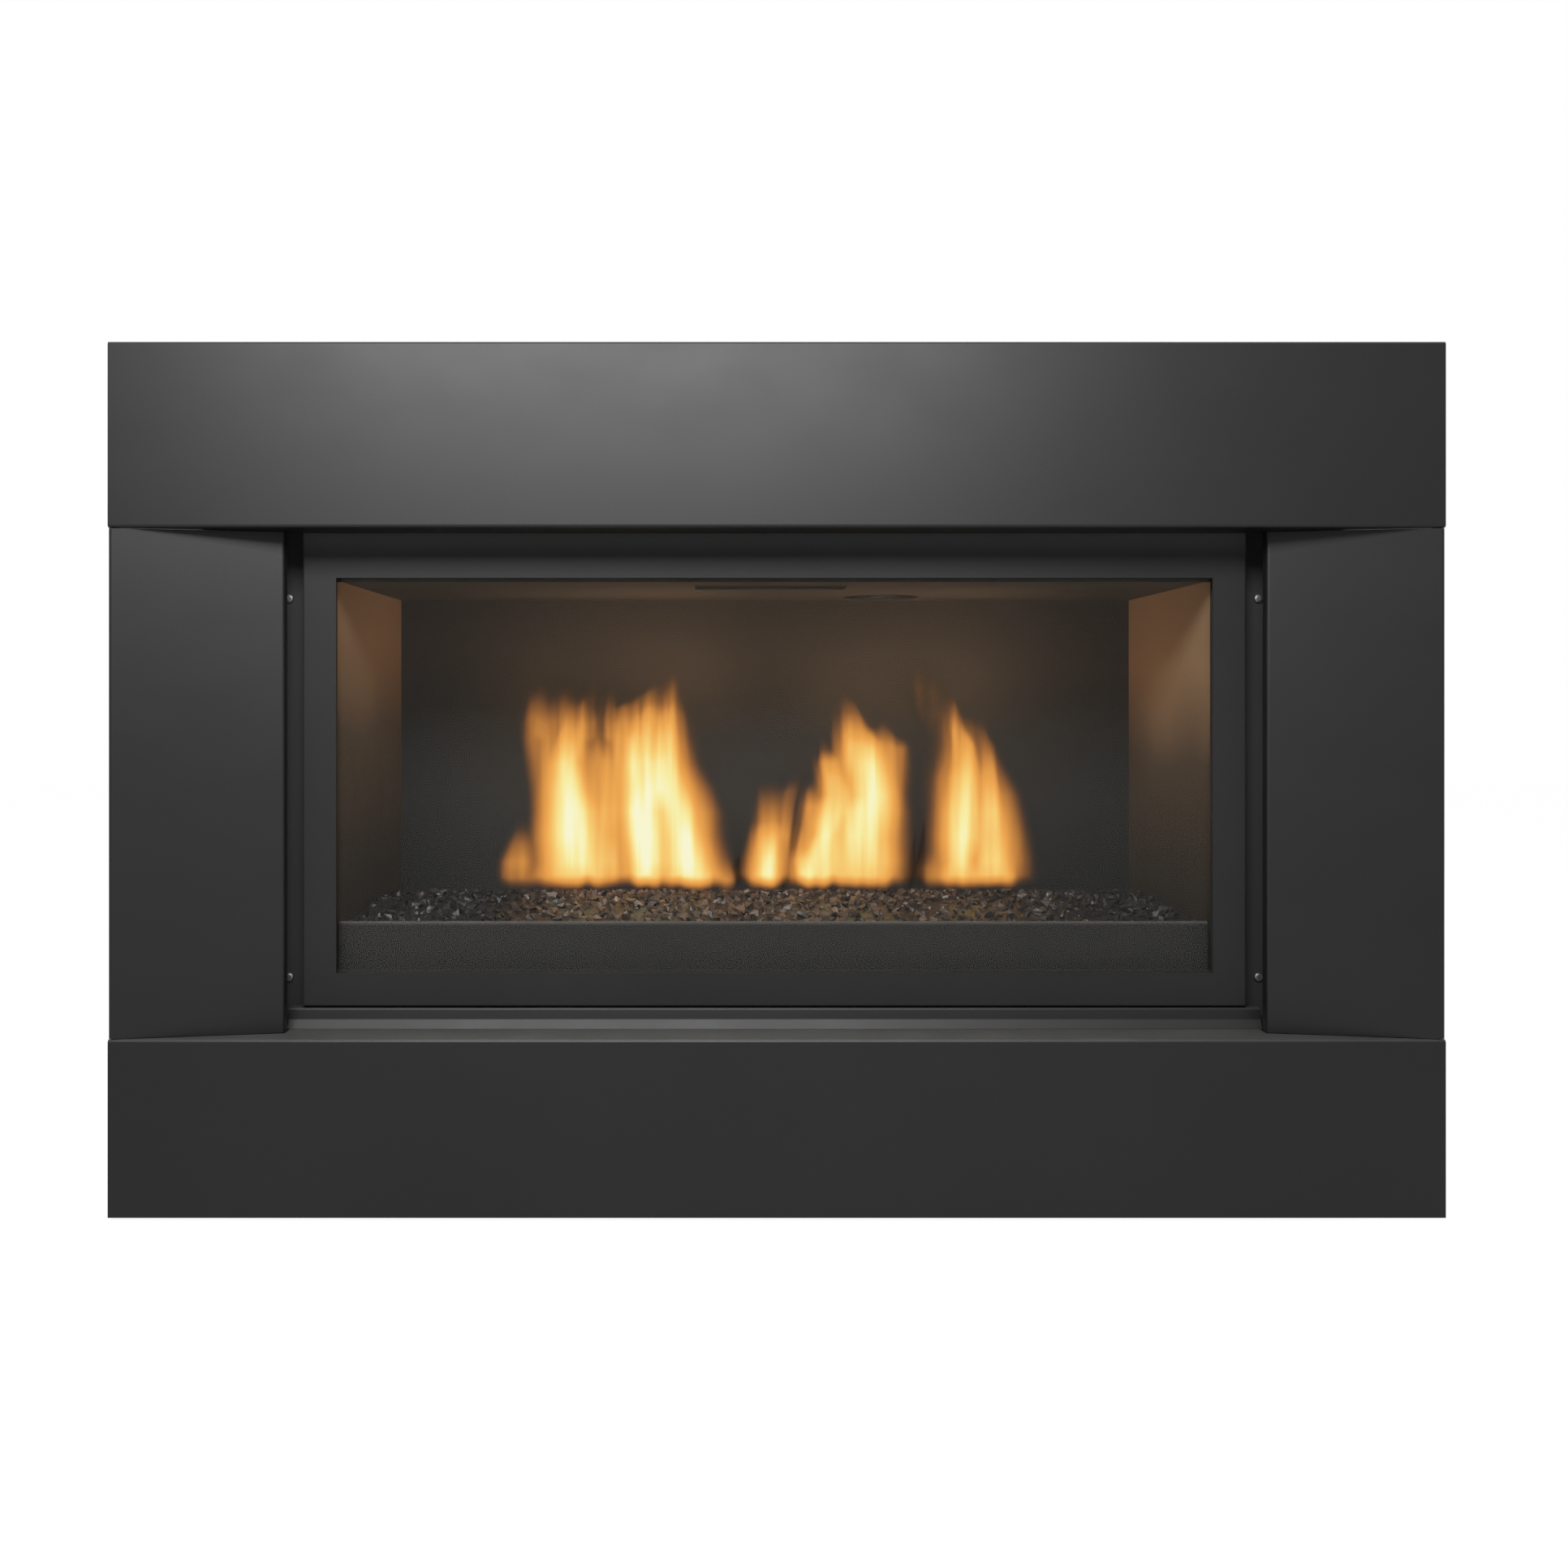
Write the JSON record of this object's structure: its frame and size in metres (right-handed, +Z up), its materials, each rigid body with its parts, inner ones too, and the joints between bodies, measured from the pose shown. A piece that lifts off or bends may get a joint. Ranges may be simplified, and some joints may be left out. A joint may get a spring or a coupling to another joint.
{
  "type": "fireplace insert",
  "caption": "Wide gas fireplace insert: folded steel surround with sloping sides, glass front, tray burner with crushed media, steel casing with vent spigots and a fold-down control panel.",
  "frame": {"origin": "on the floor, at the middle of the width and of the depth", "axes": "+X to the right seen from the front, +Y from the glass to the back, +Z up"},
  "size_m": [1.067, 0.4, 0.702],
  "materials": {
    "satin_black": "satin powder coat",
    "frame_black": "satin powder coat",
    "firebox_black": "matte heat-proof paint",
    "galvanised": "galvanised sheet",
    "stainless": "stainless steel",
    "bright_steel": "bright zinc",
    "ceramic_glass": "clear ceramic glass",
    "glass_fibre_rope": "woven glass-fibre rope",
    "crushed_media": "broken dark glass and stone",
    "aluminium": "mill finish",
    "brass": "turned brass",
    "black_plastic": "moulded",
    "red_plastic": "moulded",
    "lead_sleeve": "silicone sleeve",
    "ferrite": "ferrite magnet in a steel shelf",
    "motor_grey": "enamel"
  },
  "bodies": {
    "root": {"surround_top_panel": "satin_black", "surround_right_panel": "satin_black", "surround_left_panel": "satin_black", "sill": "satin_black", "firebox_front_frame": "firebox_black", "firebox_floor": "firebox_black", "firebox_side_walls": "firebox_black", "firebox_back_wall": "firebox_black", "firebox_top": "firebox_black", "side_liners": "firebox_black", "back_liner": "firebox_black", "burner_tray": "firebox_black", "casing_base": "galvanised", "base_runners": "galvanised", "casing_right_side": "galvanised", "casing_left_side": "galvanised", "casing_back": "galvanised", "casing_top": "galvanised", "surround_brackets": "galvanised", "access_hinge_brackets": "galvanised", "door_pin_brackets": "galvanised", "control_bracket": "galvanised", "blower_housing": "galvanised", "intake_duct": "galvanised", "exhaust_collar": "stainless", "intake_collar": "stainless", "burner_tube": "stainless", "pilot_burner": "stainless", "door_catch_clips": "stainless", "front_frame_screws": "bright_steel", "surround_screws": "bright_steel", "hinge_pins": "bright_steel", "media_bed": "crushed_media", "gas_valve": "aluminium", "gas_pipes": "aluminium", "pilot_pipe": "aluminium", "venturi": "aluminium", "orifice_fitting": "brass", "shutoff_valve": "brass", "gas_inlet_fitting": "brass", "igniter_body": "black_plastic", "switch_body": "black_plastic", "cable_gland": "black_plastic", "electric_leads": "lead_sleeve", "magnet_catches": "ferrite", "blower_motor": "motor_grey"},
    "access_panel": {"access_panel": "satin_black"},
    "glass_door": {"glass_door_frame": "frame_black", "glass_pane": "ceramic_glass", "glass_seals": "glass_fibre_rope", "pane_clips": "stainless"},
    "relief_flap": {"relief_flap": "firebox_black"},
    "air_shutter": {"air_shutter": "aluminium"},
    "gas_knob": {"gas_control_knob": "black_plastic"},
    "flame_knob": {"flame_height_knob": "black_plastic"},
    "igniter_button": {"igniter_button": "red_plastic"},
    "switch_rocker": {"switch_rocker": "red_plastic"},
    "shutoff_lever": {"shutoff_lever": "red_plastic"},
    "blower_rotor": {"blower_rotor": "aluminium"}
  },
  "joints": [
    {"name": "access_panel_fold", "type": "hinge", "parent": "root", "child": "access_panel", "pos_m": [0, -0.191, 0.011], "axis": [1, 0, 0], "range_deg": [0, 90]},
    {"name": "glass_door_tilt", "type": "hinge", "parent": "root", "child": "glass_door", "pos_m": [0, -0.145, 0.562], "axis": [-1, 0, 0], "range_deg": [0, 25]},
    {"name": "relief_flap_lift", "type": "hinge", "parent": "root", "child": "relief_flap", "pos_m": [0, -0.024, 0.5233], "axis": [-1, 0, 0], "range_deg": [0, 35]},
    {"name": "air_shutter_turn", "type": "hinge", "parent": "root", "child": "air_shutter", "pos_m": [0.062, 0.015, 0.11], "axis": [1, 0, 0], "range_deg": [0, 60]},
    {"name": "gas_knob_turn", "type": "hinge", "parent": "root", "child": "gas_knob", "pos_m": [0.175, -0.11, 0.072], "axis": [0, -1, 0], "range_deg": [0, 180]},
    {"name": "flame_knob_turn", "type": "hinge", "parent": "root", "child": "flame_knob", "pos_m": [0.225, -0.11, 0.072], "axis": [0, -1, 0], "range_deg": [0, 270]},
    {"name": "igniter_press", "type": "slide", "parent": "root", "child": "igniter_button", "axis": [0, 1, 0], "range_m": [0, 0.005], "stiffness_N_per_m": 500},
    {"name": "blower_switch_rock", "type": "hinge", "parent": "root", "child": "switch_rocker", "pos_m": [0.297, -0.096, 0.077], "axis": [1, 0, 0], "range_deg": [-8, 8]},
    {"name": "shutoff_lever_turn", "type": "hinge", "parent": "root", "child": "shutoff_lever", "pos_m": [0.395, -0.069, 0.068], "axis": [0, 0, 1], "range_deg": [0, 90]},
    {"name": "blower_rotor_spin", "type": "hinge", "parent": "root", "child": "blower_rotor", "pos_m": [0, 0.15, 0.066], "axis": [1, 0, 0], "continuous": true}
  ]
}
